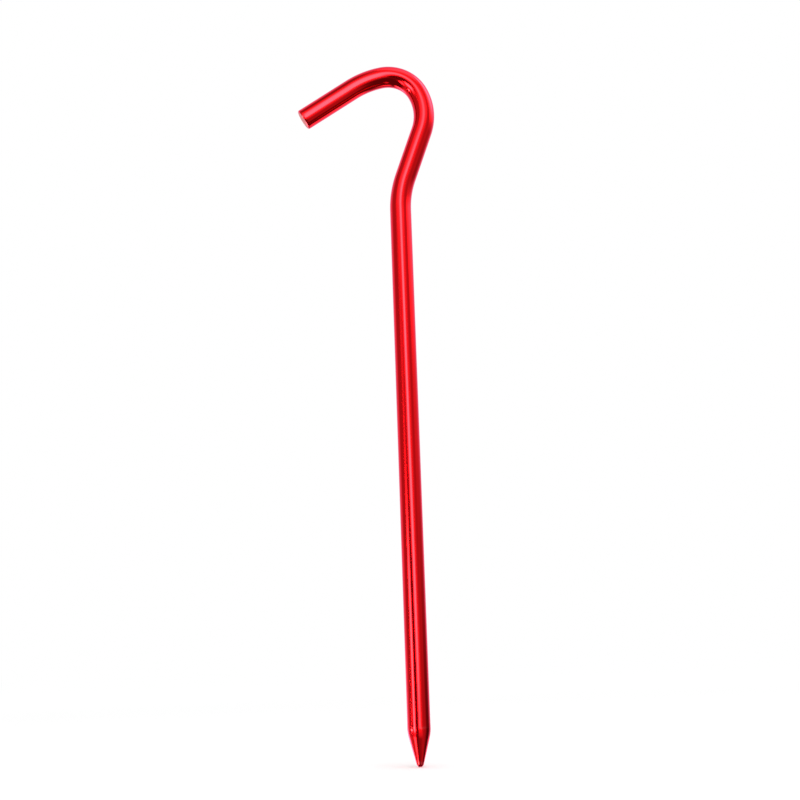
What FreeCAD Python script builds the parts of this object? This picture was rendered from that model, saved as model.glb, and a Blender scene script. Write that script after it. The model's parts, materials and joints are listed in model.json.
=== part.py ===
"""A hook stake for guy lines, made of one piece of round aluminium rod.

The rod is straight where it goes into the ground. One end is turned to a blunt point.
Above the ground the rod leans to +X in a short neck, and then bends back over the shaft
towards -X as an open hook, so that the loop of a line can't slip off it.

Frame: +Z runs up along the straight shaft and the hook lies in the XZ plane. The origin is
on the shaft's axis at the ground line. Sizes are in millimetres and degrees.
"""

import FreeCAD
import Part
import Sketcher

import math
import os

NODE = "stake"
SHEET = "dimensions"

# The driving dimensions: alias, value and what it is.
DIMENSIONS = [
    ("rod_diameter", 5.5, "solid round rod"),
    ("straight_length", 129.5, "full-diameter shaft, from the point to the neck bend"),
    ("clear_length", 8.0, "part of the straight shaft that stays above the ground"),
    ("neck_turn", 20.0, "lean of the neck away from the hook's mouth"),
    ("neck_radius", 26.0, "bend radius at the rod's centreline"),
    ("neck_length", 13.5, "straight run of the neck"),
    ("entry_turn", 47.0, "first bend of the hook"),
    ("entry_radius", 14.0, "bend radius at the rod's centreline"),
    ("crown_turn", 73.0, "tightest bend, at the top of the hook"),
    ("crown_radius", 9.0, "bend radius at the rod's centreline"),
    ("exit_turn", 22.0, "last bend, which opens into the arm"),
    ("exit_radius", 22.0, "bend radius at the rod's centreline"),
    ("arm_length", 15.3, "straight run of the arm, to its cut end"),
    ("end_rounding", 0.4, "radius on the rim of the cut end"),
    ("point_half_angle", 15.0, "half angle of the cone"),
    ("shoulder_radius", 9.0, "soft shoulder between the shaft and the cone"),
    ("nose_radius", 0.9, "blunt nose of the point"),
]

# The centreline above the point, in order: a straight run is named by its length and a bend
# by its radius and turn. A bend to +X has the sign -1 and a bend to -X the sign +1.
STRAIGHT, BEND = "straight", "bend"
CENTRELINE = [
    (STRAIGHT, "straight_length"),
    (BEND, "neck_radius", "neck_turn", -1),
    (STRAIGHT, "neck_length"),
    (BEND, "entry_radius", "entry_turn", +1),
    (BEND, "crown_radius", "crown_turn", +1),
    (BEND, "exit_radius", "exit_turn", +1),
    (STRAIGHT, "arm_length"),
]

# Sketcher's own numbers for the end points of an edge, an arc's centre and the two axes.
START, END, CENTRE = 1, 2, 3
X_AXIS, Y_AXIS = -1, -2
ORIGIN = (X_AXIS, START)

UPWARDS = math.pi / 2
VOLUME_TOLERANCE = 0.002


def make_sheet(doc):
    """Writes the driving dimensions to a spreadsheet and returns them as a dict too."""
    sheet = doc.addObject("Spreadsheet::Sheet", SHEET)
    for row, (alias, value, meaning) in enumerate(DIMENSIONS, start=1):
        sheet.set(f"A{row}", alias)
        sheet.set(f"B{row}", str(value))
        sheet.set(f"C{row}", meaning)
        sheet.setAlias(f"B{row}", alias)
    doc.recompute()
    return {alias: value for alias, value, _ in DIMENSIONS}


def make_sketch(body, name, plane):
    """Adds an empty sketch on one of the body's own origin planes."""
    sketch = body.newObject("Sketcher::SketchObject", name)
    role = f"{plane}_Plane"
    support = next(f for f in body.Origin.OriginFeatures if f.Role == role)
    sketch.AttachmentSupport = [(support, "")]
    sketch.MapMode = "FlatFace"
    return sketch


def drive(sketch, name, constraint, expression):
    """Adds a named dimension to a sketch and binds it to the spreadsheet."""
    index = sketch.addConstraint(constraint)
    sketch.renameConstraint(index, name)
    sketch.setExpression(f"Constraints.{name}", expression)


def cell(alias):
    """Returns the expression that reads a driving dimension in the sheet."""
    return f"{SHEET}.{alias}"


def step(point, heading, length):
    """Returns the point at a distance along a heading, in the sketch's plane."""
    return point + FreeCAD.Vector(math.cos(heading), math.sin(heading), 0) * length


def arc_from(point, heading, radius, turn):
    """Returns an arc that leaves a point along a heading, the arc's far point and its heading.

    A positive turn, in radians, bends to the left of the heading and a negative one to the right.
    """
    side = math.copysign(math.pi / 2, turn)
    centre = step(point, heading + side, radius)
    first = heading - side
    last = first + turn
    circle = Part.Circle(centre, FreeCAD.Vector(0, 0, 1), radius)
    arc = Part.ArcOfCircle(circle, min(first, last), max(first, last))
    return arc, step(centre, last, radius), heading + turn


def draw_centreline(body, size):
    """Draws the rod's centreline in the XZ plane, as tangent runs and bends."""
    sketch = make_sketch(body, "centreline", "XZ")
    place = FreeCAD.Vector(0, size["clear_length"] - size["straight_length"], 0)
    heading = UPWARDS
    joint = None
    for kind, *names in CENTRELINE:
        if kind == STRAIGHT:
            far = step(place, heading, size[names[0]])
            edge = sketch.addGeometry(Part.LineSegment(place, far), False)
            near_end, far_end = START, END
        else:
            radius, turn, sign = names
            angle = sign * math.radians(size[turn])
            arc, far, heading = arc_from(place, heading, size[radius], angle)
            edge = sketch.addGeometry(arc, False)
            near_end, far_end = (START, END) if sign > 0 else (END, START)
        if joint:
            sketch.addConstraint(Sketcher.Constraint("Tangent", *joint, edge, near_end))
        else:
            anchor_shaft(sketch, edge, size)
        if kind == STRAIGHT:
            length = Sketcher.Constraint("Distance", edge, size[names[0]])
            drive(sketch, names[0], length, cell(names[0]))
        else:
            bend = Sketcher.Constraint("Radius", edge, size[radius])
            drive(sketch, radius, bend, cell(radius))
            span = Sketcher.Constraint("Angle", edge, abs(angle))
            drive(sketch, turn, span, f"{cell(turn)} * 1 deg")
        joint = (edge, far_end)
        place = far
    return sketch


def anchor_shaft(sketch, edge, size):
    """Stands the centreline's first run on the Z axis, with its top clear of the ground line."""
    sketch.addConstraint(Sketcher.Constraint("PointOnObject", edge, START, Y_AXIS))
    sketch.addConstraint(Sketcher.Constraint("Vertical", edge))
    above = Sketcher.Constraint("DistanceY", *ORIGIN, edge, END, size["clear_length"])
    drive(sketch, "clear_length", above, cell("clear_length"))


def sweep_rod(body, size):
    """Sweeps the round section along the centreline."""
    spine = draw_centreline(body, size)
    section = make_sketch(body, "rod_section", "XY")
    drop = f"{cell('clear_length')} - {cell('straight_length')}"
    section.setExpression("AttachmentOffset.Base.z", drop)
    circle = Part.Circle(FreeCAD.Vector(), FreeCAD.Vector(0, 0, 1), size["rod_diameter"] / 2)
    edge = section.addGeometry(circle, False)
    section.addConstraint(Sketcher.Constraint("Coincident", edge, CENTRE, *ORIGIN))
    width = Sketcher.Constraint("Diameter", edge, size["rod_diameter"])
    drive(section, "rod_diameter", width, cell("rod_diameter"))
    rod = body.newObject("PartDesign::AdditivePipe", "bent_rod")
    rod.Profile = section
    rod.Spine = (spine, [])
    section.Visibility = False
    spine.Visibility = False
    return rod


def draw_point(body, size):
    """Draws half of the point's outline: soft shoulder, cone and blunt nose."""
    sketch = make_sketch(body, "point_outline", "XZ")
    rod_radius = size["rod_diameter"] / 2
    slope = math.radians(size["point_half_angle"])
    top = FreeCAD.Vector(0, size["clear_length"] - size["straight_length"], 0)
    rim = top + FreeCAD.Vector(rod_radius, 0, 0)
    down = -math.pi / 2
    shoulder, cone_top, heading = arc_from(rim, down, size["shoulder_radius"], -slope)
    nose_half_width = size["nose_radius"] * math.cos(slope)
    cone_bottom = step(cone_top, heading, (cone_top.x - nose_half_width) / math.sin(slope))
    nose, tip, _ = arc_from(cone_bottom, heading, size["nose_radius"], slope - math.pi / 2)

    lid_edge = sketch.addGeometry(Part.LineSegment(top, rim), False)
    shoulder_edge = sketch.addGeometry(shoulder, False)
    cone_edge = sketch.addGeometry(Part.LineSegment(cone_top, cone_bottom), False)
    nose_edge = sketch.addGeometry(nose, False)
    axis_edge = sketch.addGeometry(Part.LineSegment(tip, top), False)
    for constraint in [
        ("Coincident", axis_edge, END, lid_edge, START),
        ("Horizontal", lid_edge),
        ("PointOnObject", lid_edge, START, Y_AXIS),
        ("Coincident", lid_edge, END, shoulder_edge, END),
        ("Horizontal", lid_edge, END, shoulder_edge, CENTRE),
        ("Tangent", shoulder_edge, START, cone_edge, START),
        ("Tangent", cone_edge, END, nose_edge, END),
        ("Coincident", nose_edge, START, axis_edge, START),
        ("PointOnObject", nose_edge, CENTRE, Y_AXIS),
        ("Vertical", axis_edge),
    ]:
        sketch.addConstraint(Sketcher.Constraint(*constraint))

    start = Sketcher.Constraint("DistanceY", lid_edge, START, *ORIGIN, -top.y)
    drive(sketch, "planted_length", start, f"{cell('straight_length')} - {cell('clear_length')}")
    half_width = Sketcher.Constraint("Distance", lid_edge, rod_radius)
    drive(sketch, "rod_radius", half_width, f"{cell('rod_diameter')} / 2")
    soft = Sketcher.Constraint("Radius", shoulder_edge, size["shoulder_radius"])
    drive(sketch, "shoulder_radius", soft, cell("shoulder_radius"))
    lean = Sketcher.Constraint("Angle", shoulder_edge, slope)
    drive(sketch, "point_half_angle", lean, f"{cell('point_half_angle')} * 1 deg")
    blunt = Sketcher.Constraint("Radius", nose_edge, size["nose_radius"])
    drive(sketch, "nose_radius", blunt, cell("nose_radius"))
    return sketch


def turn_point(body, size):
    """Turns the point's outline about the shaft's axis."""
    outline = draw_point(body, size)
    point = body.newObject("PartDesign::Revolution", "turned_point")
    point.Profile = outline
    point.ReferenceAxis = (outline, ["V_Axis"])
    point.Angle = 360
    outline.Visibility = False
    return point


def round_cut_end(body, base):
    """Rounds the rim of the arm's cut end, which is the edge furthest towards -X."""
    rim = min(range(len(base.Shape.Edges)), key=lambda i: base.Shape.Edges[i].BoundBox.XMax)
    rounding = body.newObject("PartDesign::Fillet", "rounded_end")
    rounding.Base = (base, [f"Edge{rim + 1}"])
    rounding.setExpression("Radius", cell("end_rounding"))
    return rounding


def rod_volume(size):
    """Returns the section's area times the centreline's length."""
    length = 0
    for kind, *names in CENTRELINE:
        if kind == STRAIGHT:
            length += size[names[0]]
        else:
            length += size[names[0]] * math.radians(size[names[1]])
    return math.pi * size["rod_diameter"] ** 2 / 4 * length


def make_stake(doc, size):
    """Builds the whole stake as one body, because it is one bent and turned piece of rod."""
    body = doc.addObject("PartDesign::Body", NODE)
    body.Label = NODE
    rod = sweep_rod(body, size)
    doc.recompute()
    wanted = rod_volume(size)
    if abs(rod.Shape.Volume - wanted) > VOLUME_TOLERANCE * wanted:
        raise RuntimeError(f"the swept rod holds {rod.Shape.Volume:.1f} and not {wanted:.1f} mm3")
    point = turn_point(body, size)
    doc.recompute()
    if point.Shape.Volume <= rod.Shape.Volume:
        raise RuntimeError("the turned point added nothing to the rod")
    rounding = round_cut_end(body, point)
    doc.recompute()
    if not 0 < point.Shape.Volume - rounding.Shape.Volume < point.Shape.Volume:
        raise RuntimeError("the cut end was not rounded")
    body.Placement = FreeCAD.Placement()
    return body


def check(doc, bodies):
    """Stops the script if any object failed or a sub-part isn't one valid solid."""
    for item in doc.Objects:
        if {"Invalid", "Error"} & set(item.State):
            raise RuntimeError(f"{item.Name} failed: {item.State}")
        if item.isDerivedFrom("Sketcher::SketchObject") and item.solve() != 0:
            raise RuntimeError(f"the sketch {item.Name} can't be solved")
    for body in bodies:
        shape = body.Shape
        if shape.isNull() or not shape.isValid() or len(shape.Solids) != 1:
            raise RuntimeError(f"{body.Label} isn't one valid solid")


def main():
    """Builds the document and writes each sub-part's shape."""
    doc = FreeCAD.newDocument("hook_stake")
    size = make_sheet(doc)
    bodies = [make_stake(doc, size)]
    doc.recompute()
    check(doc, bodies)
    os.makedirs("parts", exist_ok=True)
    for body in bodies:
        body.Shape.exportStep(f"parts/{body.Label}.step")
        box = body.Shape.BoundBox
        print(body.Label, [round(x, 2) for x in (box.XMin, box.XMax, box.YMin, box.YMax)])
        print("height", round(box.ZMin, 2), round(box.ZMax, 2), "volume", round(body.Shape.Volume, 1))


main()
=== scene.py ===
"""Looks of a red hook stake: one round aluminium rod, bent, pointed and anodised, in a plain studio.

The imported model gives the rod's radius, the straight shaft, the arm and the overall box. Lengths are
in metres, and angles in degrees unless a name says otherwise. +Z runs up the shaft, the hook lies in
the XZ plane with its mouth towards -X, and the origin is on the shaft's axis at the ground line.
"""

from __future__ import annotations

import json
import logging
import math
from dataclasses import dataclass, field
from enum import Enum
import bmesh
import bpy
from mathutils import Matrix, Vector, noise


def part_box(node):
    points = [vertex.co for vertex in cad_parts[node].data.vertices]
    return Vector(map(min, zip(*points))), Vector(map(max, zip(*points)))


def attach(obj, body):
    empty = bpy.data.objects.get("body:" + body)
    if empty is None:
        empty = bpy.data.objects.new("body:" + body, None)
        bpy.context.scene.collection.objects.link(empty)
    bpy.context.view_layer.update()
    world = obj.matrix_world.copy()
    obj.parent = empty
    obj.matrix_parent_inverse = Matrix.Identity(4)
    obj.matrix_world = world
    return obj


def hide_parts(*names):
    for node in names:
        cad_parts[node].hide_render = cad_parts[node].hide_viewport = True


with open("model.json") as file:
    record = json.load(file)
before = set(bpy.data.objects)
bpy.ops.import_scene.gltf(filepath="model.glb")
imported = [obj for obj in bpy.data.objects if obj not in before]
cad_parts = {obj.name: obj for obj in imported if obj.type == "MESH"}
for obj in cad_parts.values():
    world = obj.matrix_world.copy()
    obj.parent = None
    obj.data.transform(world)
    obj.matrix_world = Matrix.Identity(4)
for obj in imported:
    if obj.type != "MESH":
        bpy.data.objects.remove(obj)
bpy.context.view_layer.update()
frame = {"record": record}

LOG = logging.getLogger("hook_stake")
Socket = bpy.types.NodeSocket

MM = 0.001
STRAIGHT_ROD = "straight_rod"
WRAP = "rod_wrap"
CARD_SPAN = "card_span"
ACROSS_HOOK = Vector((0.0, -1.0, 0.0))
UP = Vector((0.0, 0.0, 1.0))
FLOOR_GAP = 0.02 * MM
TOUCH = 0.001 * MM


class Side(Enum):
    """Which way a bend turns the rod, seen with the hook's mouth on the left."""

    TO_MOUTH = 1
    FROM_MOUTH = -1


class CardKind(Enum):
    """What a studio card adds to the gloss of the rod: a bright band or a dark one."""

    LIGHT = "light"
    FLAG = "flag"


@dataclass(frozen=True)
class Bend:
    """One bend of the rod over a former.

    Attributes:
        radius: Bend radius at the rod's centreline.
        turn: Turn of the rod in degrees.
        side: The side that the rod turns to.
    """

    radius: float
    turn: float
    side: Side

    @property
    def length(self) -> float:
        """Length of the centreline in the bend."""
        return self.radius * math.radians(self.turn)

    @property
    def signed_turn(self) -> float:
        """Turn in radians, positive towards the hook's mouth."""
        return math.radians(self.turn) * self.side.value


def mount(name: str) -> dict:
    """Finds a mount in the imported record.

    Args:
        name: The mount's name.

    Returns:
        The mount's entry.
    """
    return next(m for m in frame["record"]["mounts"] if m["name"] == name)


def smooth_step(value: float, low: float, high: float) -> float:
    """Rises smoothly from 0 at low to 1 at high.

    Args:
        value: Where to read the step.
        low: Where the rise starts.
        high: Where the rise ends.

    Returns:
        A share from 0 to 1.
    """
    share = min(1.0, max(0.0, (value - low) / (high - low)))
    return share * share * (3.0 - 2.0 * share)


def put_in_scene(name: str, data: bpy.types.ID) -> bpy.types.Object:
    """Adds an object to the scene, at the origin.

    Args:
        name: The object's name.
        data: Its mesh, light or camera.

    Returns:
        The object.
    """
    made = bpy.data.objects.new(name, data)
    bpy.context.scene.collection.objects.link(made)
    return made


def object_from(name: str, mesh: bmesh.types.BMesh) -> bpy.types.Object:
    """Turns a finished mesh into an object, and frees it.

    Args:
        name: Name of the object and of its mesh.
        mesh: The mesh.

    Returns:
        The object.
    """
    data = bpy.data.meshes.new(name)
    mesh.to_mesh(data)
    mesh.free()
    return put_in_scene(name, data)


class RodMesh:
    """A tube that grows ring by ring from one open rim, as the rod's surface.

    Every vertex keeps its place on the rod as it was before bending, in the attribute
    "straight_rod", so that drawn lines and other marks follow the bent rod.
    """

    def __init__(self, radius: float, segments: int, foot: Vector) -> None:
        """Starts the tube with one ring round the Z axis.

        Args:
            radius: The rod's radius.
            segments: Number of edges in each ring.
            foot: Centre of the first ring.
        """
        self.mesh = bmesh.new()
        self.unbent = self.mesh.verts.layers.float_vector.new(STRAIGHT_ROD)
        ring = bmesh.ops.create_circle(self.mesh, segments=segments, radius=radius)["verts"]
        for vert in ring:
            vert[self.unbent] = vert.co
        bmesh.ops.translate(self.mesh, verts=ring, vec=foot)
        self.first_rim = list(self.mesh.edges)
        self.start_at(foot, 1)

    @property
    def direction(self) -> Vector:
        """Unit vector along the rod at its open rim."""
        return Vector((math.cos(self.heading), 0.0, math.sin(self.heading)))

    def start_at(self, foot: Vector, sense: int) -> None:
        """Goes to the first ring, to grow the rod from there.

        Args:
            foot: Centre of the first ring.
            sense: 1 to grow upwards, -1 to grow downwards.
        """
        self.rim = list(self.first_rim)
        self.place = foot.copy()
        self.heading = sense * math.pi / 2
        self.station = 0.0
        self.sense = sense

    def _grow(self) -> list[bmesh.types.BMVert]:
        """Extrudes the open rim in place.

        Returns:
            The vertices of the new rim.
        """
        grown = bmesh.ops.extrude_edge_only(self.mesh, edges=self.rim)["geom"]
        verts = [item for item in grown if isinstance(item, bmesh.types.BMVert)]
        fresh = set(verts)
        edges = [item for item in grown if isinstance(item, bmesh.types.BMEdge)]
        self.rim = [edge for edge in edges if fresh.issuperset(edge.verts)]
        return verts

    def advance(self, length: float, scale: float = 1.0) -> None:
        """Grows one ring along the rod.

        Args:
            length: How far the new ring lies beyond the last one.
            scale: Radius of the new ring as a share of the last one's.
        """
        verts = self._grow()
        to_centre = Matrix.Translation(-self.place)
        bmesh.ops.scale(self.mesh, verts=verts, vec=Vector((scale,) * 3), space=to_centre)
        bmesh.ops.translate(self.mesh, verts=verts, vec=self.direction * length)
        self.place += self.direction * length
        self._mark(verts, length, scale)

    def run(self, length: float, steps: int) -> None:
        """Grows a straight run.

        Args:
            length: Length of the run.
            steps: Number of rings in it.
        """
        for _ in range(steps):
            self.advance(length / steps)

    def bend(self, bend: Bend, step_degrees: float) -> None:
        """Spins the rim round a bend's centre.

        Args:
            bend: The bend.
            step_degrees: Largest turn between two rings.
        """
        steps = math.ceil(bend.turn / step_degrees)
        turn = bend.signed_turn / steps
        side = Vector((-math.sin(self.heading), 0.0, math.cos(self.heading)))
        centre = self.place + side * bend.radius * bend.side.value
        for _ in range(steps):
            verts = self._grow()
            swing = Matrix.Rotation(turn, 3, ACROSS_HOOK)
            bmesh.ops.rotate(self.mesh, verts=verts, cent=centre, matrix=swing)
            self.place = centre + swing @ (self.place - centre)
            self.heading += turn
            self._mark(verts, bend.length / steps, 1.0)

    def _mark(self, verts: list[bmesh.types.BMVert], length: float, scale: float) -> None:
        """Writes the new ring's place on the straight rod.

        Args:
            verts: The vertices of the ring.
            length: Length of rod since the last ring.
            scale: Radius of the ring as a share of the last one's.
        """
        self.station += length * self.sense
        for vert in verts:
            old = vert[self.unbent]
            vert[self.unbent] = Vector((old.x * scale, old.y * scale, self.station))

    def close(self, rings: int) -> None:
        """Closes the open rim with a flat face made of rings round one middle vertex.

        Args:
            rings: Number of rings in the face.
        """
        for ring in range(rings, 1, -1):
            self.advance(0.0, (ring - 1) / ring)
        verts = self._grow()
        for vert in verts:
            vert[self.unbent] = Vector((0.0, 0.0, self.station))
        bmesh.ops.pointmerge(self.mesh, verts=verts, merge_co=self.place)
        self.rim = []


@dataclass
class Hook:
    """The bent head of the stake: a neck that leans away and a hook that comes back over it.

    Attributes:
        neck: Bend that leans the neck away from the mouth.
        neck_run: Straight run of the neck.
        entry: First bend of the hook.
        crown: Tightest bend, at the top.
        leaving: Last bend, which opens into the arm.
        arm_run: Straight run of the arm, to its cut end.
        rim_radius: Rounding on the rim of the cut end.
        step_degrees: Turn between two rings in a bend.
        run_step: Length between two rings in a straight run.
        rim_steps: Number of rings in the rounding of the cut end's rim.
        face_rings: Number of rings in the cut face.
        squeeze: In-plane flattening in the crown, as a share of the rod's radius.
    """

    neck: Bend = Bend(26.0 * MM, 20.0, Side.FROM_MOUTH)
    neck_run: float = 13.5 * MM
    entry: Bend = Bend(14.0 * MM, 47.0, Side.TO_MOUTH)
    crown: Bend = Bend(9.0 * MM, 73.0, Side.TO_MOUTH)
    leaving: Bend = Bend(22.0 * MM, 22.0, Side.TO_MOUTH)
    arm_run: float = 15.3 * MM
    rim_radius: float = 0.4 * MM
    step_degrees: float = 1.5
    run_step: float = 0.7 * MM
    rim_steps: int = 6
    face_rings: int = 12
    squeeze: float = 0.012

    def form(self, rod: RodMesh) -> None:
        """Grows the neck, the hook and the arm, and closes the cut end.

        Args:
            rod: The rod, grown up to the top of its straight shaft.
        """
        rod.bend(self.neck, self.step_degrees)
        rod.run(self.neck_run, round(self.neck_run / self.run_step))
        for bend in (self.entry, self.crown, self.leaving):
            rod.bend(bend, self.step_degrees)
        straight = self.arm_run - self.rim_radius
        rod.run(straight, round(straight / self.run_step))
        self.round_rim(rod)
        rod.close(self.face_rings)

    def round_rim(self, rod: RodMesh) -> None:
        """Rounds the rim of the cut end with a quarter circle.

        Args:
            rod: The rod, grown up to the start of the rounding.
        """
        radius = mount("hook_arm")["dims"]["r_mm"] * MM
        width, height = radius, 0.0
        for step in range(1, self.rim_steps + 1):
            angle = math.pi / 2 * step / self.rim_steps
            new_width = radius - self.rim_radius * (1 - math.cos(angle))
            new_height = self.rim_radius * math.sin(angle)
            rod.advance(new_height - height, new_width / width)
            width, height = new_width, new_height

    def bends_along(self, start: float) -> list[tuple[float, float, Bend]]:
        """Lists where each bend lies on the straight rod.

        Args:
            start: Length of rod below the neck bend.

        Returns:
            The first and last station of each bend, and the bend.
        """
        found = []
        for bend in (self.neck, self.entry, self.crown, self.leaving):
            found.append((start, start + bend.length, bend))
            start += bend.length + (self.neck_run if bend is self.neck else 0.0)
        return found


@dataclass
class Point:
    """The turned point: soft shoulder, straight cone and blunt nose.

    Attributes:
        half_angle: Half angle of the cone.
        shoulder_radius: Rounding between the shaft and the cone.
        nose_radius: Rounding of the nose.
        shoulder_steps: Number of rings in the shoulder.
        cone_steps: Number of rings in the cone.
        nose_steps: Number of rings in the nose, with its tip.
    """

    half_angle: float = 15.0
    shoulder_radius: float = 9.0 * MM
    nose_radius: float = 0.9 * MM
    shoulder_steps: int = 12
    cone_steps: int = 40
    nose_steps: int = 16

    def profile(self, radius: float) -> list[tuple[float, float]]:
        """Lists the point's outline from the shaft to just short of the tip.

        Args:
            radius: The rod's radius.

        Returns:
            Pairs of depth under the shaft's foot and half width.
        """
        slope = math.radians(self.half_angle)
        outline = []
        for step in range(1, self.shoulder_steps + 1):
            angle = slope * step / self.shoulder_steps
            half_width = radius - self.shoulder_radius * (1 - math.cos(angle))
            outline.append((self.shoulder_radius * math.sin(angle), half_width))
        cone_depth, cone_width = outline[-1]
        nose_width = self.nose_radius * math.cos(slope)
        cone_length = (cone_width - nose_width) / math.tan(slope)
        for step in range(1, self.cone_steps + 1):
            share = step / self.cone_steps
            half_width = cone_width + (nose_width - cone_width) * share
            outline.append((cone_depth + cone_length * share, half_width))
        nose_centre = cone_depth + cone_length - self.nose_radius * math.sin(slope)
        for step in range(1, self.nose_steps):
            angle = slope + (math.pi / 2 - slope) * step / self.nose_steps
            depth = nose_centre + self.nose_radius * math.sin(angle)
            outline.append((depth, self.nose_radius * math.cos(angle)))
        return outline

    def tip_depth(self, radius: float) -> float:
        """Works out how far the point reaches below the full-diameter shaft.

        Args:
            radius: The rod's radius.

        Returns:
            Depth of the tip under the shaft's foot.
        """
        slope = math.radians(self.half_angle)
        nose_width = self.nose_radius * math.cos(slope)
        cone_width = radius - self.shoulder_radius * (1 - math.cos(slope))
        shoulder_depth = self.shoulder_radius * math.sin(slope)
        cone_length = (cone_width - nose_width) / math.tan(slope)
        return shoulder_depth + cone_length + self.nose_radius * (1 - math.sin(slope))

    def form(self, rod: RodMesh, radius: float) -> None:
        """Grows the point downwards from the foot of the shaft.

        Args:
            rod: The rod, turned back to its foot.
            radius: The rod's radius.
        """
        depth, half_width = 0.0, radius
        for new_depth, new_half_width in self.profile(radius):
            rod.advance(new_depth - depth, new_half_width / half_width)
            depth, half_width = new_depth, new_half_width
        rod.place += rod.direction * (self.tip_depth(radius) - depth)
        rod.close(rings=1)


@dataclass
class RodMarks:
    """Small departures from a perfect rod: squeezed bends, a wavy drawn wall and a burr.

    Attributes:
        wave_height: Height of the long waves left by straightening.
        wave_length: Length of those waves along the rod.
        wave_count: Noise cells of those waves in one radius across the rod.
        wave_shift: Offset that keeps the waves apart from the die lines.
        line_height: Height of the lines left by the drawing die.
        line_length: Length of those lines along the rod.
        line_count: Noise cells of those lines in one radius across the rod.
        burr_height: Height of the rolled edge at the point's shoulder.
        burr_length: Length of that edge along the rod.
        ease: Length over which a bend's squeeze comes and goes.
        bulge: Swelling across a bend, as a share of its in-plane flattening.
    """

    wave_height: float = 0.006 * MM
    wave_length: float = 14.0 * MM
    wave_count: float = 1.1
    wave_shift: float = 7.0
    line_height: float = 0.0035 * MM
    line_length: float = 60.0 * MM
    line_count: float = 7.0
    burr_height: float = 0.02 * MM
    burr_length: float = 0.8 * MM
    ease: float = 3.0 * MM
    bulge: float = 0.35

    def press(self, rod: RodMesh, hook: Hook, radius: float, shaft: float, total: float) -> None:
        """Moves each vertex of the wall along its normal by the marks' height there.

        Args:
            rod: The finished, closed rod.
            hook: The hook, which says where the bends are.
            radius: The rod's radius.
            shaft: Length of the full-diameter shaft.
            total: Length of rod from the foot of the shaft to the cut end.
        """
        rod.mesh.normal_update()
        bends = hook.bends_along(shaft)
        rim = total - hook.rim_radius
        moves = []
        for vert in rod.mesh.verts:
            unbent = Vector(vert[rod.unbent])
            half_width = math.hypot(unbent.x, unbent.y)
            on_wall = smooth_step(half_width, 0.5 * radius, 0.9 * radius)
            on_wall *= 1.0 - smooth_step(unbent.z, rim - 0.5 * hook.rim_radius, rim)
            if on_wall <= 0.0:
                continue
            in_plane = unbent.x / half_width
            height = self.waviness(unbent, half_width) + self.burr(unbent.z)
            height += self.squeeze(unbent.z, in_plane, bends, hook.squeeze * radius)
            moves.append((vert, vert.normal * height * on_wall))
        for vert, move in moves:
            vert.co += move

    def waviness(self, unbent: Vector, half_width: float) -> float:
        """Height of the drawn wall over a perfect one.

        Args:
            unbent: Place on the straight rod.
            half_width: Distance of that place from the axis.

        Returns:
            A height in metres, positive outwards.
        """
        around = Vector((unbent.x, unbent.y, 0.0)) / half_width
        lines = noise.noise(around * self.line_count + UP * unbent.z / self.line_length)
        along = unbent.z / self.wave_length + self.wave_shift
        waves = noise.noise(around * self.wave_count + UP * along)
        return self.line_height * lines + self.wave_height * waves

    def burr(self, station: float) -> float:
        """Height of the edge that turning the point rolls up at the shoulder."""
        return self.burr_height * math.exp(-((station / self.burr_length) ** 2))

    def squeeze(
        self, station: float, in_plane: float, bends: list[tuple[float, float, Bend]], depth: float
    ) -> float:
        """Height change where a bend squeezes the round section.

        Args:
            station: Place along the straight rod.
            in_plane: Cosine of the angle round the rod, from the hook's plane.
            bends: First station, last station and shape of each bend.
            depth: Flattening of the tightest bend.

        Returns:
            A height in metres, positive outwards.
        """
        tightest = min(bend.radius for _, _, bend in bends)
        shape = self.bulge - (1.0 + self.bulge) * in_plane * in_plane
        height = 0.0
        for first, last, bend in bends:
            inside = smooth_step(station, first - self.ease, first + self.ease)
            inside *= 1.0 - smooth_step(station, last - self.ease, last + self.ease)
            height += inside * tightest / bend.radius * depth * shape
        return height


@dataclass(frozen=True)
class Grain:
    """Noise that is stretched along the rod or across it.

    Attributes:
        cells: Noise cells per metre along each axis.
        detail: Octaves of finer noise.
        shift: Offset that keeps two grains apart.
    """

    cells: tuple[float, float, float]
    detail: float
    shift: float


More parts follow.
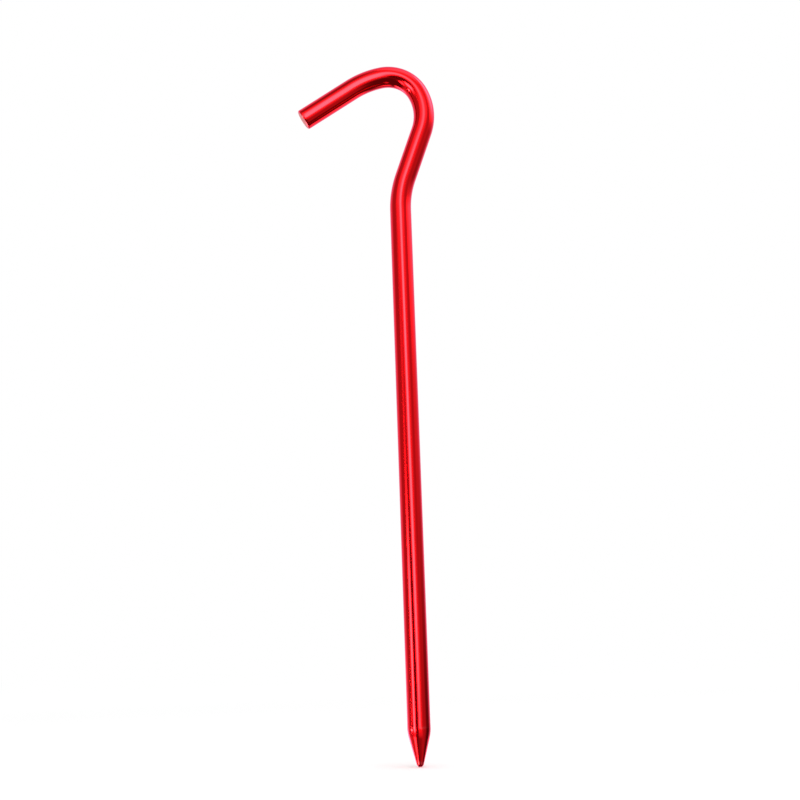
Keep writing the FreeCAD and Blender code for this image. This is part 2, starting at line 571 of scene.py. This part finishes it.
class NodeSheet:
    """A new material, with a short way to lay out its shader nodes."""

    def __init__(self, name: str) -> None:
        """Makes the material, with no nodes.

        Args:
            name: The material's name.
        """
        self.material = bpy.data.materials.new(name)
        self.material.use_nodes = True
        self.tree = self.material.node_tree
        self.tree.nodes.clear()

    def add(self, kind: str, **settings: object) -> bpy.types.Node:
        """Adds a node.

        Args:
            kind: The node's type.
            **settings: Attributes of the node to set.

        Returns:
            The new node.
        """
        node = self.tree.nodes.new(kind)
        for name, value in settings.items():
            setattr(node, name, value)
        return node

    def feed(self, socket: Socket, value: object) -> None:
        """Links a socket to another one, or sets its value.

        Args:
            socket: The input to feed.
            value: The socket to link, or a number, vector or colour.
        """
        if isinstance(value, Socket):
            self.tree.links.new(value, socket)
        else:
            socket.default_value = value

    def attribute(self, name: str) -> Socket:
        """Reads a vector that the mesh keeps at each vertex, by its name."""
        return self.add("ShaderNodeAttribute", attribute_name=name).outputs["Vector"]

    def axes(self, vector: Socket) -> bpy.types.NodeOutputs:
        """Splits a vector.

        Args:
            vector: Socket of the vector.

        Returns:
            The sockets of its X, Y and Z.
        """
        split = self.add("ShaderNodeSeparateXYZ")
        self.feed(split.inputs[0], vector)
        return split.outputs

    def math(self, operation: str, *values: object) -> Socket:
        """Adds a Math node.

        Args:
            operation: The node's operation.
            *values: A number or a socket for each input.

        Returns:
            The result's socket.
        """
        node = self.add("ShaderNodeMath", operation=operation)
        for socket, value in zip(node.inputs, values):
            self.feed(socket, value)
        return node.outputs[0]

    def span(self, value: object, low: float, high: float, out_low: float, out_high: float) -> Socket:
        """Maps a range smoothly to another one.

        Args:
            value: The socket to read.
            low: Start of the range read.
            high: End of the range read.
            out_low: Result at the start.
            out_high: Result at the end.

        Returns:
            The result's socket.
        """
        node = self.add("ShaderNodeMapRange", interpolation_type="SMOOTHSTEP")
        names = ("Value", "From Min", "From Max", "To Min", "To Max")
        for name, number in zip(names, (value, low, high, out_low, out_high)):
            self.feed(node.inputs[name], number)
        return node.outputs["Result"]

    def grain(self, place: Socket, grain: Grain) -> Socket:
        """Adds a grain.

        Args:
            place: Socket of the place to read.
            grain: The grain.

        Returns:
            Socket of the noise, from 0 to 1.
        """
        mapping = self.add("ShaderNodeMapping")
        self.feed(mapping.inputs["Vector"], place)
        mapping.inputs["Scale"].default_value = grain.cells
        mapping.inputs["Location"].default_value = (grain.shift,) * 3
        cells = self.add("ShaderNodeTexNoise")
        self.feed(cells.inputs["Vector"], mapping.outputs["Vector"])
        cells.inputs["Scale"].default_value = 1.0
        cells.inputs["Detail"].default_value = grain.detail
        return cells.outputs["Fac"]

    def blend(self, share: object, first: object, second: object) -> Socket:
        """Mixes two colours.

        Args:
            share: Share of the second colour.
            first: The first colour, or its socket.
            second: The second colour, or its socket.

        Returns:
            The colour's socket.
        """
        mix = self.add("ShaderNodeMix", data_type="RGBA")
        # The node keeps its colours in places 6 and 7 and gives the mixed one in place 2.
        for place, value in ((0, share), (6, first), (7, second)):
            self.feed(mix.inputs[place], value)
        return mix.outputs[2]

    def dress(self, inputs: dict[str, object]) -> bpy.types.Material:
        """Feeds the material's surface with a Principled shader.

        Args:
            inputs: The shader's values, each a number, a colour or a socket.

        Returns:
            The material.
        """
        shader = self.add("ShaderNodeBsdfPrincipled")
        for name, value in inputs.items():
            self.feed(shader.inputs[name], value)
        return self.finish(shader.outputs["BSDF"])

    def finish(self, surface: Socket) -> bpy.types.Material:
        """Feeds the material's surface.

        Args:
            surface: Socket of the finished shader.

        Returns:
            The material.
        """
        out = self.add("ShaderNodeOutputMaterial")
        self.feed(out.inputs["Surface"], surface)
        return self.material


@dataclass(frozen=True)
class WallSockets:
    """What the finish reads at each point of the rod's wall.

    Attributes:
        place: Place on the straight rod.
        station: Height along the straight rod.
        lines: The drawn lines, from 0 to 1.
        cloud: The layer's slow changes, from 0 to 1.
    """

    place: Socket
    station: Socket
    lines: Socket
    cloud: Socket


@dataclass(frozen=True)
class RedAnodising:
    """Glossy red anodised finish on a drawn aluminium rod.

    Attributes:
        dye: Colour of the dyed layer over the metal.
        deep_dye: The same where the layer is thicker.
        rubbed: Paler colour where the layer is rubbed thin.
        grazing: Tint of the layer where it is seen nearly edge on.
        roughness: Roughness of the clean wall.
        lines_roughness: Least and most that the drawn lines add to it.
        cloud_roughness: Least and most that the slow changes add to it.
        turned_roughness: What the turned point adds to it.
        turned_ease: Length over which the point's own finish comes in.
        nose_wear: Wear at the tip, and the heights over it where it starts to fade and ends.
        shoulder_wear: Wear at the shoulder, and the length over which it fades.
        rim_wear: Wear at the cut rim.
        seal: Strength of the clear sealed skin.
        seal_roughness: Roughness of that skin.
        seal_index: Refractive index of that skin.
        relief: Height of the bump's finest marks.
        strength: Strength of the bump.
        die_lines: Grain of the drawn lines.
        cloud: Grain of the layer's slow changes.
        peel: Grain of the fine orange peel.
        scratch: Grain of the long scratches.
        turned: Grain of the turning lines on the point.
        handling: Grain of the worn patches.
    """

    dye: tuple[float, float, float, float] = (0.86, 0.0, 0.003, 1.0)
    deep_dye: tuple[float, float, float, float] = (0.74, 0.0, 0.0025, 1.0)
    rubbed: tuple[float, float, float, float] = (0.90, 0.10, 0.11, 1.0)
    grazing: tuple[float, float, float, float] = (1.0, 0.7, 1.0, 1.0)
    roughness: float = 0.115
    lines_roughness: tuple[float, float] = (-0.012, 0.03)
    cloud_roughness: tuple[float, float] = (-0.008, 0.02)
    turned_roughness: float = 0.05
    turned_ease: float = 0.6 * MM
    nose_wear: tuple[float, float, float] = (0.55, 0.3 * MM, 2.2 * MM)
    shoulder_wear: tuple[float, float] = (0.30, 0.5 * MM)
    rim_wear: float = 0.45
    seal: float = 0.18
    seal_roughness: float = 0.12
    seal_index: float = 1.5
    relief: float = 0.004 * MM
    strength: float = 0.06
    die_lines: Grain = Grain((3600.0, 3600.0, 26.0), 2.0, 3.0)
    cloud: Grain = Grain((240.0, 240.0, 80.0), 2.0, 5.0)
    peel: Grain = Grain((1500.0, 1500.0, 900.0), 2.0, 1.0)
    scratch: Grain = Grain((2600.0, 700.0, 60.0), 1.0, 23.0)
    turned: Grain = Grain((60.0, 60.0, 6500.0), 1.0, 31.0)
    handling: Grain = Grain((900.0, 900.0, 700.0), 3.0, 17.0)

    def material(self, stake: Stake) -> bpy.types.Material:
        """Makes the finish.

        Args:
            stake: The stake, which says where its shoulder, nose and cut rim are.

        Returns:
            The material.
        """
        sheet = NodeSheet("red_anodised_rod")
        place = sheet.attribute(STRAIGHT_ROD)
        _, _, station = sheet.axes(place)
        lines = sheet.grain(place, self.die_lines)
        wall = WallSockets(place, station, lines, sheet.grain(place, self.cloud))
        return sheet.dress({
            "Base Color": self.colour(sheet, wall, stake),
            "Metallic": 1.0,
            "Roughness": self.unevenness(sheet, wall),
            "Normal": self.bump(sheet, wall),
            "Specular Tint": self.grazing,
            "Coat Weight": self.seal,
            "Coat Roughness": self.seal_roughness,
            "Coat IOR": self.seal_index,
        })

    def unevenness(self, sheet: NodeSheet, wall: WallSockets) -> Socket:
        """Makes the roughness a little uneven, and more on the turned point.

        Args:
            sheet: The material's sheet.
            wall: What it reads.

        Returns:
            The roughness's socket.
        """
        from_lines = sheet.span(wall.lines, 0.3, 0.75, *self.lines_roughness)
        from_cloud = sheet.span(wall.cloud, 0.3, 0.7, *self.cloud_roughness)
        from_turning = sheet.span(wall.station, -self.turned_ease, 0.0, self.turned_roughness, 0.0)
        rough = sheet.math("ADD", from_lines, from_cloud)
        rough = sheet.math("ADD", rough, from_turning)
        return sheet.math("ADD", rough, self.roughness)

    def wear(self, sheet: NodeSheet, wall: WallSockets, stake: Stake) -> Socket:
        """Finds where handling has rubbed the layer thin: the nose, the shoulder and the cut rim.

        Args:
            sheet: The material's sheet.
            wall: What it reads.
            stake: The stake.

        Returns:
            Socket of the wear, from 0 to 1.
        """
        patches = sheet.span(sheet.grain(wall.place, self.handling), 0.42, 0.66, 0.0, 1.0)
        tip = -stake.point.tip_depth(stake.radius)
        most, start, end = self.nose_wear
        nose = sheet.span(wall.station, tip + start, tip + end, most, 0.0)
        most, end = self.shoulder_wear
        shoulder = sheet.span(sheet.math("ABSOLUTE", wall.station), 0.0, end, most, 0.0)
        edge = stake.total - stake.hook.rim_radius
        rim = sheet.span(wall.station, edge, stake.total, 0.0, self.rim_wear)
        edges = sheet.math("ADD", sheet.math("ADD", nose, shoulder), rim)
        return sheet.math("MULTIPLY", edges, patches)

    def colour(self, sheet: NodeSheet, wall: WallSockets, stake: Stake) -> Socket:
        """Mixes the dyed layer's colour, and its paler one where it is worn.

        Args:
            sheet: The material's sheet.
            wall: What it reads.
            stake: The stake.

        Returns:
            The colour's socket.
        """
        from_cloud = sheet.span(wall.cloud, 0.35, 0.7, 0.0, 0.6)
        from_lines = sheet.span(wall.lines, 0.45, 0.75, 0.0, 0.4)
        thickness = sheet.math("ADD", from_cloud, from_lines)
        layer = sheet.blend(thickness, self.dye, self.deep_dye)
        return sheet.blend(self.wear(sheet, wall, stake), layer, self.rubbed)

    def bump(self, sheet: NodeSheet, wall: WallSockets) -> Socket:
        """Adds drawn lines, orange peel and scratches, and turning lines on the point.

        Args:
            sheet: The material's sheet.
            wall: What it reads.

        Returns:
            The normal's socket.
        """
        # Heights here are shares of the relief.
        lines = sheet.math("MULTIPLY", wall.lines, 0.8)
        peel = sheet.math("MULTIPLY", sheet.grain(wall.place, self.peel), 0.5)
        scratch = sheet.span(sheet.grain(wall.place, self.scratch), 0.64, 0.70, 0.0, -0.5)
        on_point = sheet.span(wall.station, -self.turned_ease, 0.0, 2.0, 0.0)
        turned = sheet.math("MULTIPLY", sheet.grain(wall.place, self.turned), on_point)
        height = sheet.math("ADD", lines, peel)
        height = sheet.math("ADD", height, scratch)
        height = sheet.math("ADD", height, turned)
        bump = sheet.add("ShaderNodeBump")
        bump.inputs["Strength"].default_value = self.strength
        bump.inputs["Distance"].default_value = self.relief
        sheet.feed(bump.inputs["Height"], height)
        return bump.outputs["Normal"]


@dataclass(frozen=True)
class SawnEnd:
    """The cut end: sawn across, etched and dyed with the rest.

    Attributes:
        dye: Colour of the dyed face.
        groove: Colour in the saw's grooves.
        roughness: Roughness of the face.
        relief: Depth of the saw's grooves.
        strength: Strength of the bump.
        saw_lines: Grain of the grooves.
    """

    dye: tuple[float, float, float, float] = (0.80, 0.0, 0.010, 1.0)
    groove: tuple[float, float, float, float] = (0.50, 0.0, 0.004, 1.0)
    roughness: float = 0.30
    relief: float = 0.02 * MM
    strength: float = 0.5
    saw_lines: Grain = Grain((7000.0, 450.0, 1.0), 2.0, 13.0)

    def material(self) -> bpy.types.Material:
        """Makes the finish.

        Returns:
            The material.
        """
        sheet = NodeSheet("sawn_end")
        grooves = sheet.grain(sheet.attribute(STRAIGHT_ROD), self.saw_lines)
        tone = sheet.blend(sheet.span(grooves, 0.3, 0.65, 0.0, 1.0), self.groove, self.dye)
        bump = sheet.add("ShaderNodeBump")
        bump.inputs["Strength"].default_value = self.strength
        bump.inputs["Distance"].default_value = self.relief
        sheet.feed(bump.inputs["Height"], grooves)
        return sheet.dress({
            "Base Color": tone,
            "Metallic": 1.0,
            "Roughness": self.roughness,
            "Normal": bump.outputs["Normal"],
        })


@dataclass
class Stake:
    """The whole stake: one rod with a straight shaft, a hook at the top and a point below.

    Attributes:
        hook: The bent head.
        point: The turned point.
        marks: Small departures from a perfect rod.
        finish: The anodised finish.
        end_finish: The finish of the cut end.
        segments: Number of edges round the rod.
        shaft_step: Length between two rings in the straight shaft.
    """

    hook: Hook = field(default_factory=Hook)
    point: Point = field(default_factory=Point)
    marks: RodMarks = field(default_factory=RodMarks)
    finish: RedAnodising = RedAnodising()
    end_finish: SawnEnd = SawnEnd()
    segments: int = 128
    shaft_step: float = 1.0 * MM

    @property
    def radius(self) -> float:
        """The rod's radius, from the shaft's mount."""
        return mount("ground_shaft")["dims"]["r_mm"] * MM

    @property
    def shaft(self) -> float:
        """Length of the full-diameter shaft, from its mount."""
        return mount("ground_shaft")["dims"]["length_mm"] * MM

    @property
    def foot(self) -> Vector:
        """Centre of the shaft's lower end, where the point's shoulder starts."""
        lowest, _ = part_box("stake")
        return Vector((0.0, 0.0, lowest.z + self.point.tip_depth(self.radius)))

    @property
    def total(self) -> float:
        """Length of rod from the foot of the shaft to the cut end."""
        bends = self.hook.bends_along(self.shaft)
        return bends[-1][1] + self.hook.arm_run

    def build(self) -> bpy.types.Object:
        """Makes the stake's mesh, dresses it and fixes it to the CAD body.

        Returns:
            The finished piece.
        """
        rod = RodMesh(self.radius, self.segments, self.foot)
        rod.run(self.shaft, round(self.shaft / self.shaft_step))
        self.hook.form(rod)
        rod.start_at(self.foot, -1)
        self.point.form(rod, self.radius)
        bmesh.ops.recalc_face_normals(rod.mesh, faces=rod.mesh.faces)
        self.marks.press(rod, self.hook, self.radius, self.shaft, self.total)
        self.wrap(rod)
        end = self.total - TOUCH
        for face in rod.mesh.faces:
            face.smooth = True
            face.material_index = int(all(vert[rod.unbent].z > end for vert in face.verts))
        piece = object_from("bent_rod", rod.mesh)
        piece.data.materials.append(self.finish.material(self))
        piece.data.materials.append(self.end_finish.material())
        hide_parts("stake")
        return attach(piece, "root")

    def wrap(self, rod: RodMesh) -> None:
        """Writes a UV map that unrolls the rod: round it across and along it upwards.

        Args:
            rod: The finished rod.
        """
        uv = rod.mesh.loops.layers.uv.new(WRAP)
        round_length = 2 * math.pi * self.radius
        for face in rod.mesh.faces:
            turns = []
            for loop in face.loops:
                unbent = Vector(loop.vert[rod.unbent])
                turns.append(math.atan2(unbent.y, unbent.x) / (2 * math.pi))
            base = max(turns)
            for loop, share in zip(face.loops, turns):
                whole = share + 1.0 if base - share > 0.5 else share
                loop[uv].uv = (whole, loop.vert[rod.unbent].z / round_length)


@dataclass(frozen=True)
class Card:
    """A curved card, far from the stake, that shows only in its gloss.

    It is a patch of a ball round the stake. Azimuth 0 is towards -Y and 90 towards +X.

    Attributes:
        name: The card's name.
        kind: Light or flag.
        azimuth: Direction of the middle of its foot.
        width: Angle that it covers round the stake.
        foot: Height angle of its lower edge.
        head: Height angle of its upper edge.
        level: Brightness, where 1 is the room's own.
        side_fade: Share of its width that fades at each side.
        foot_fade: Share of its height that fades at the lower edge.
        head_fade: Share of its height that fades at the upper edge.
        lean: Turn of its head round the stake, measured from its foot.
        nearness: Its distance as a share of the studio's own.
        second_hand: Brightness of a light where one part of the rod shows it to another.
        rows: Faces from foot to head.
        columns: Faces across.
    """

    name: str
    kind: CardKind
    azimuth: float
    width: float
    foot: float
    head: float
    level: float
    side_fade: float = 0.3
    foot_fade: float = 0.3
    head_fade: float = 0.3
    lean: float = 0.0
    nearness: float = 1.0
    second_hand: float = 1.5
    rows: int = 24
    columns: int = 48

    def build(self, distance: float) -> bpy.types.Object:
        """Spins an upright arc round the stake and lights it.

        Args:
            distance: Distance of the card from the stake.

        Returns:
            The card.
        """
        mesh = bmesh.new()
        self.spin_patch(mesh, distance)
        card = object_from(self.name, mesh)
        card.data.materials.append(self.material())
        card.visible_camera = False
        card.visible_diffuse = False
        card.visible_shadow = False
        return card

    def spin_patch(self, mesh: bmesh.types.BMesh, distance: float) -> None:
        """Makes the patch: an arc from foot to head, spun round the stake, then leaned.

        Args:
            mesh: An empty mesh.
            distance: Radius of the ball.
        """
        span = mesh.verts.layers.float_vector.new(CARD_SPAN)
        middle = Vector((0.0, 0.0, 0.0))
        start = mesh.verts.new((0.0, -distance, 0.0))
        to_foot = Matrix.Rotation(math.radians(-self.foot), 3, "X")
        bmesh.ops.rotate(mesh, verts=[start], cent=middle, matrix=to_foot)
        rise = math.radians(self.head - self.foot)
        bmesh.ops.spin(mesh, geom=[start], cent=middle, axis=(-1.0, 0.0, 0.0), angle=rise, steps=self.rows)
        for vert in mesh.verts:
            height = math.degrees(math.asin(vert.co.z / distance))
            vert[span] = Vector((0.0, (height - self.foot) / (self.head - self.foot), 0.0))
        arc = list(mesh.verts) + list(mesh.edges)
        sweep = math.radians(self.width)
        slack = math.radians(0.5)
        bmesh.ops.spin(mesh, geom=arc, cent=middle, axis=UP, angle=sweep, steps=self.columns)
        for vert in mesh.verts:
            turn = math.atan2(vert.co.x, -vert.co.y) % (2 * math.pi)
            across = turn / sweep if turn < sweep + slack else 0.0
            vert[span] = Vector((across, vert[span].y, 0.0))
        for vert in mesh.verts:
            lean = math.radians(self.azimuth - self.width / 2 + self.lean * vert[span].y)
            vert.co.rotate(Matrix.Rotation(lean, 3, UP))

    def held_back(self, sheet: NodeSheet) -> Socket:
        """Dims a light where one part of the rod shows it to another, which would only sparkle.

        Args:
            sheet: The material's sheet.

        Returns:
            Socket of the light's brightness.
        """
        # The depth is 1 for the rod's own gloss, and 2 or more by way of another part of the rod.
        bounces = sheet.add("ShaderNodeLightPath").outputs["Glossy Depth"]
        seen_twice = sheet.math("GREATER_THAN", bounces, 1.5)
        cut = sheet.math("MULTIPLY", seen_twice, self.level - self.second_hand)
        return sheet.math("SUBTRACT", self.level, cut)

    def material(self) -> bpy.types.Material:
        """Makes an even glow with faded edges.

        Returns:
            The material.
        """
        sheet = NodeSheet(self.name)
        across, up, _ = sheet.axes(sheet.attribute(CARD_SPAN))
        mask = sheet.span(across, 0.0, self.side_fade, 0.0, 1.0)
        mask = sheet.math("MULTIPLY", mask, sheet.span(across, 1.0 - self.side_fade, 1.0, 1.0, 0.0))
        mask = sheet.math("MULTIPLY", mask, sheet.span(up, 0.0, self.foot_fade, 0.0, 1.0))
        mask = sheet.math("MULTIPLY", mask, sheet.span(up, 1.0 - self.head_fade, 1.0, 1.0, 0.0))
        glow = sheet.add("ShaderNodeEmission")
        strength = self.held_back(sheet) if self.kind is CardKind.LIGHT else self.level
        sheet.feed(glow.inputs["Strength"], strength)
        clear = sheet.add("ShaderNodeBsdfTransparent")
        mix = sheet.add("ShaderNodeMixShader")
        sheet.feed(mix.inputs[0], mask)
        sheet.feed(mix.inputs[1], clear.outputs[0])
        sheet.feed(mix.inputs[2], glow.outputs[0])
        return sheet.finish(mix.outputs[0])


def studio_cards() -> list[Card]:
    """Lists the cards, in an order that matters: a near one covers what lies behind it.

    Returns:
        The cards, from the nearest to the farthest.
    """
    light, flag = CardKind.LIGHT, CardKind.FLAG
    return [
        Card("front_lamp", light, azimuth=14.5, width=32.0, foot=-14.0, head=39.0, level=22.0,
             side_fade=0.42, foot_fade=0.24, head_fade=0.42, lean=-20.0, nearness=0.2),
        Card("lens_flag", flag, azimuth=-18.0, width=38.0, foot=-42.0, head=22.0, level=0.12,
             side_fade=0.22, foot_fade=0.25, head_fade=0.35, lean=-3.0),
        Card("left_lamp_core", light, azimuth=-75.0, width=12.0, foot=-13.5, head=-5.5, level=60.0,
             side_fade=0.35, head_fade=0.35),
        Card("left_lamp", light, azimuth=-43.5, width=28.0, foot=-19.0, head=8.0, level=24.0,
             side_fade=0.4, head_fade=0.24),
        Card("left_low_lamp", light, azimuth=-52.0, width=34.0, foot=-37.0, head=-24.0, level=10.0,
             side_fade=0.35),
        Card("front_top_lamp", light, azimuth=-3.0, width=84.0, foot=18.0, head=38.0, level=5.5,
             side_fade=0.45, foot_fade=0.35, head_fade=0.4),
        Card("right_high_lamp", light, azimuth=94.0, width=66.0, foot=13.0, head=75.0, level=8.5,
             side_fade=0.35, foot_fade=0.4),
        Card("side_low_lamp", light, azimuth=140.0, width=36.0, foot=-46.0, head=-8.0, level=2.0,
             side_fade=0.4, foot_fade=0.35),
        Card("back_low_lamp", light, azimuth=180.0, width=70.0, foot=-62.0, head=-38.0, level=1.8,
             side_fade=0.35, head_fade=0.4),
        Card("back_lamp", light, azimuth=-138.0, width=20.0, foot=-48.0, head=2.0, level=9.0,
             side_fade=0.4, foot_fade=0.2, head_fade=0.35),
        Card("right_low_flag", flag, azimuth=97.0, width=84.0, foot=-36.0, head=20.0, level=0.07,
             side_fade=0.35, foot_fade=0.2, head_fade=0.5),
        Card("right_flag", flag, azimuth=54.0, width=56.0, foot=-60.0, head=44.0, level=0.5,
             side_fade=0.45, foot_fade=0.2),
        Card("top_flag", flag, azimuth=-50.0, width=90.0, foot=44.0, head=78.0, level=0.35),
        Card("left_flag", flag, azimuth=-75.0, width=68.0, foot=-30.0, head=56.0, level=0.48,
             side_fade=0.25, foot_fade=0.2, head_fade=0.2),
        Card("ground_flag", flag, azimuth=0.0, width=359.9, foot=-85.0, head=-20.0, level=0.12,
             side_fade=0.0001, foot_fade=0.12),
    ]


@dataclass
class Studio:
    """A pale floor, an even white room, one soft overhead light and the cards.

    Attributes:
        card_distance: Distance of the first card, before its nearness.
        card_gap: How much farther each next card stands.
        floor_half_width: Half the width of the floor.
        floor_tone: Grey of the floor's paper under the stake.
        floor_fade: Distances between which the paper pales to white.
        room: Brightness of the room.
        overhead_power: Power of the overhead light.
        overhead_size: Width of the overhead light.
        overhead_place: Its place, measured from the floor right under the origin.
    """

    card_distance: float = 6.0
    card_gap: float = 0.05
    floor_half_width: float = 12.0
    floor_tone: float = 0.93
    floor_fade: tuple[float, float] = (0.2, 1.2)
    room: float = 1.0
    overhead_power: float = 0.9
    overhead_size: float = 0.3
    overhead_place: tuple[float, float, float] = (0.10, -0.20, 0.70)

    def build(self) -> list[Card]:
        """Makes the whole studio round the stake.

        Returns:
            The cards that stand in it.
        """
        lowest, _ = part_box("stake")
        height = lowest.z - FLOOR_GAP
        self.lay_floor(height)
        self.light_room()
        self.hang_overhead(height)
        cards = studio_cards()
        for place, card in enumerate(cards):
            card.build((self.card_distance + self.card_gap * place) * card.nearness)
        bpy.context.scene.view_settings.view_transform = "Standard"
        return cards

    def lay_floor(self, height: float) -> None:
        """Lays the plain pale floor, which the gloss doesn't show.

        Args:
            height: Height of the floor.
        """
        mesh = bmesh.new()
        bmesh.ops.create_grid(mesh, x_segments=1, y_segments=1, size=self.floor_half_width)
        bmesh.ops.translate(mesh, verts=mesh.verts, vec=UP * height)
        floor = object_from("floor", mesh)
        floor.data.materials.append(self.paper())
        floor.visible_glossy = False

    def paper(self) -> bpy.types.Material:
        """Makes the floor's paper, which pales outwards into the room's white.

        Returns:
            The material.
        """
        sheet = NodeSheet("floor_paper")
        place = sheet.add("ShaderNodeTexCoord").outputs["Object"]
        flat = sheet.add("ShaderNodeVectorMath", operation="MULTIPLY")
        sheet.feed(flat.inputs[0], place)
        flat.inputs[1].default_value = (1.0, 1.0, 0.0)
        reach = sheet.add("ShaderNodeVectorMath", operation="LENGTH")
        sheet.feed(reach.inputs[0], flat.outputs["Vector"])
        near, far = self.floor_fade
        tone = sheet.span(reach.outputs["Value"], near, far, self.floor_tone, 1.0)
        grey = sheet.add("ShaderNodeCombineColor")
        for socket in grey.inputs[:3]:
            sheet.feed(socket, tone)
        return sheet.dress({
            "Base Color": grey.outputs[0],
            "Roughness": 1.0,
            "Specular IOR Level": 0.0,
        })

    def light_room(self) -> None:
        """Fills the room with even white light."""
        world = bpy.data.worlds.new("white_room")
        world.use_nodes = True
        background = world.node_tree.nodes["Background"]
        background.inputs["Color"].default_value = (1.0, 1.0, 1.0, 1.0)
        background.inputs["Strength"].default_value = self.room
        bpy.context.scene.world = world

    def hang_overhead(self, floor_height: float) -> None:
        """Hangs the soft light over the front of the stake.

        Args:
            floor_height: Height of the floor.
        """
        data = bpy.data.lights.new("overhead", "AREA")
        data.shape = "SQUARE"
        data.size = self.overhead_size
        data.energy = self.overhead_power
        light = put_in_scene("overhead", data)
        place = Vector(self.overhead_place) + UP * floor_height
        light.location = place
        light.rotation_mode = "QUATERNION"
        light.rotation_quaternion = (Vector((0.0, 0.0, 0.0)) - place).to_track_quat("-Z", "Y")
        light.visible_camera = False


@dataclass(frozen=True)
class StudioCamera:
    """The camera in front of the stake, low and close.

    Attributes:
        aim: The point in the middle of its view.
        distance: Distance from that point.
        azimuth: Turn round the stake; 0 looks along +Y.
        elevation: Height over the horizon; negative looks up.
        roll: Turn about its own axis.
        lens: Focal length in millimetres.
        sensor: Width of the sensor in millimetres.
        reach: Distances between which it sees.
    """

    aim: tuple[float, float, float] = (-1.9 * MM, 2.4 * MM, -41.8 * MM)
    distance: float = 302.1 * MM
    azimuth: float = 1.66
    elevation: float = -12.64
    roll: float = -1.96
    lens: float = 54.0
    sensor: float = 36.0
    reach: tuple[float, float] = (0.01, 50.0)

    def build(self) -> bpy.types.Object:
        """Places the camera and makes it the scene's own.

        Returns:
            The camera.
        """
        turn, rise = math.radians(self.azimuth), math.radians(self.elevation)
        flat = math.cos(rise)
        back = Vector((math.sin(turn) * flat, -math.cos(turn) * flat, math.sin(rise)))
        right = UP.cross(back).normalized()
        level = Matrix((right, back.cross(right), back)).transposed()
        data = bpy.data.cameras.new("camera")
        data.lens = self.lens
        data.sensor_width = self.sensor
        data.clip_start, data.clip_end = self.reach
        camera = put_in_scene("camera", data)
        camera.rotation_mode = "QUATERNION"
        rolled = level @ Matrix.Rotation(math.radians(self.roll), 3, "Z")
        camera.rotation_quaternion = rolled.to_quaternion()
        camera.location = Vector(self.aim) + back * self.distance
        bpy.context.scene.camera = camera
        return camera


def main() -> None:
    """Builds the stake, the studio and the camera, and reports each piece."""
    logging.basicConfig(level=logging.INFO, format="%(name)s: %(message)s")
    piece = Stake().build()
    mesh = piece.data
    LOG.info("%s: %d faces, %d materials", piece.name, len(mesh.polygons), len(mesh.materials))
    cards = Studio().build()
    for kind in CardKind:
        LOG.info("studio: %d %s cards", sum(card.kind is kind for card in cards), kind.value)
    camera = StudioCamera().build()
    LOG.info("%s has a %.0f mm lens", camera.name, camera.data.lens)


if __name__ == "__main__":
    main()
